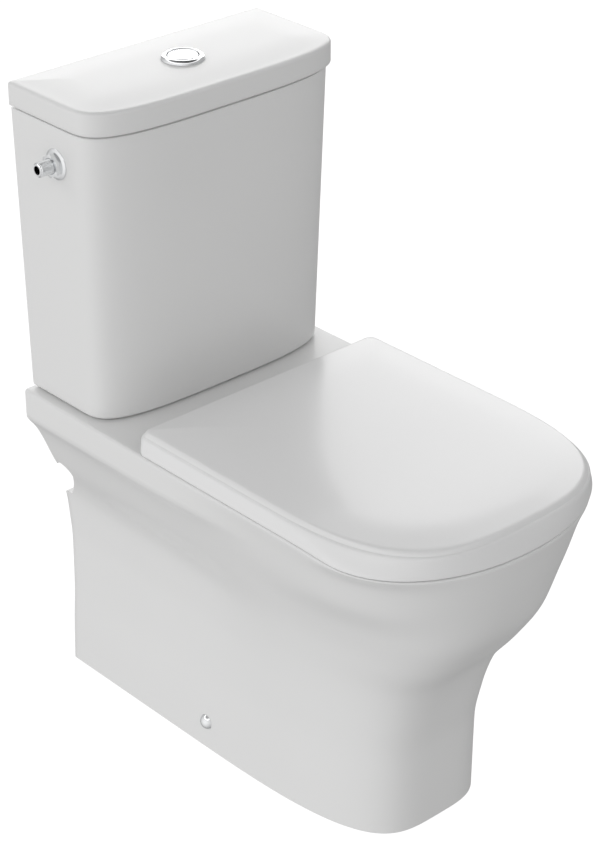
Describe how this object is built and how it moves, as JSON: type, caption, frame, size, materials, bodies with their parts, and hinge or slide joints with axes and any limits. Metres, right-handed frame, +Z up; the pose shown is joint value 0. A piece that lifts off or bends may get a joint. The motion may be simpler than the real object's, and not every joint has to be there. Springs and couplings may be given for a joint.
{
  "type": "close coupled toilet",
  "caption": "Floor-standing toilet with a skirted pan, a cistern bolted on its deck, a dual flush valve, and a hinged seat and lid.",
  "frame": {"origin": "On the floor, where the plane of the wall, the floor and the toilet's centre line meet.", "axes": "+Z up, -Y away from the wall towards the front of the bowl, +X to the right of a person who faces the toilet."},
  "size_m": [0.3768, 0.6454, 0.7909],
  "materials": {
    "china": "glossy white glaze over vitreous china",
    "seat_plastic": "glossy white moulded thermoset",
    "chrome_trim": "bright chrome plate",
    "white_valve_plastic": "moulded, satin",
    "float_plastic": "moulded, satin grey",
    "rubber_seal": "moulded black rubber",
    "buffer_rubber": "soft pale rubber",
    "brass_bolts": "plain turned brass",
    "steel": "bright stainless steel",
    "bracket_plastic": "moulded nylon"
  },
  "bodies": {
    "pan_and_cistern": {"pan": "china", "cistern": "china", "flush_valve_body": "white_valve_plastic", "flush_valve_washer": "rubber_seal", "flush_valve_nut": "white_valve_plastic", "doughnut_seal": "rubber_seal", "cistern_bolts": "brass_bolts", "bolt_washers": "rubber_seal", "bolt_plates": "steel", "bolt_nuts": "brass_bolts", "inlet_tail": "chrome_trim", "inlet_nut": "chrome_trim", "inlet_washer": "rubber_seal", "fill_valve_body": "white_valve_plastic", "fill_tube": "white_valve_plastic", "float_pin": "steel", "hinge_posts": "chrome_trim", "hinge_pins": "steel", "hinge_studs": "steel", "hinge_washers": "rubber_seal", "hinge_nuts": "white_valve_plastic", "floor_brackets": "bracket_plastic", "side_screws": "steel", "screw_washers": "bracket_plastic", "screw_caps": "chrome_trim"},
    "cistern_lid": {"cistern_lid": "china", "lid_pads": "buffer_rubber", "button_bezel": "chrome_trim", "button_barrel": "white_valve_plastic", "barrel_nut": "white_valve_plastic"},
    "full_button": {"full_flush_button": "chrome_trim", "full_flush_rod": "white_valve_plastic", "full_flush_spring": "steel"},
    "half_button": {"half_flush_button": "chrome_trim", "half_flush_rod": "white_valve_plastic", "half_flush_spring": "steel"},
    "valve_tube": {"overflow_tube": "white_valve_plastic", "valve_seal": "rubber_seal"},
    "float_assembly": {"float_arm": "white_valve_plastic", "float": "float_plastic"},
    "seat_ring": {"seat_ring": "seat_plastic", "seat_buffers": "buffer_rubber"},
    "seat_lid": {"seat_lid": "seat_plastic", "lid_buffers": "buffer_rubber"}
  },
  "joints": [
    {"name": "lid_lift", "type": "slide", "parent": "pan_and_cistern", "child": "cistern_lid", "axis": [0, 0, 1], "range_m": [0, 0.15]},
    {"name": "full_press", "type": "slide", "parent": "cistern_lid", "child": "full_button", "axis": [0, 0, -1], "range_m": [0, 0.006], "stiffness_N_per_m": 1200, "springref_m": -0.002, "deforming": ["full_flush_spring"]},
    {"name": "half_press", "type": "slide", "parent": "cistern_lid", "child": "half_button", "axis": [0, 0, -1], "range_m": [0, 0.006], "stiffness_N_per_m": 1200, "springref_m": -0.002, "deforming": ["half_flush_spring"]},
    {"name": "valve_lift", "type": "slide", "parent": "pan_and_cistern", "child": "valve_tube", "axis": [0, 0, 1], "range_m": [0, 0.012]},
    {"name": "float_swing", "type": "hinge", "parent": "pan_and_cistern", "child": "float_assembly", "pos_m": [-0.11199, -0.1, 0.719], "axis": [0, -1, 0], "range_deg": [0, 14]},
    {"name": "seat_hinge", "type": "hinge", "parent": "pan_and_cistern", "child": "seat_ring", "pos_m": [0, -0.24, 0.428], "axis": [-1, 0, 0], "range_deg": [0, 93]},
    {"name": "lid_hinge", "type": "hinge", "parent": "seat_ring", "child": "seat_lid", "pos_m": [0, -0.24, 0.428], "axis": [1, 0, 0], "range_deg": [-94, 0]}
  ],
  "couplings": [
    {"joint": "valve_lift", "follows": "full_press", "ratio": 2}
  ]
}
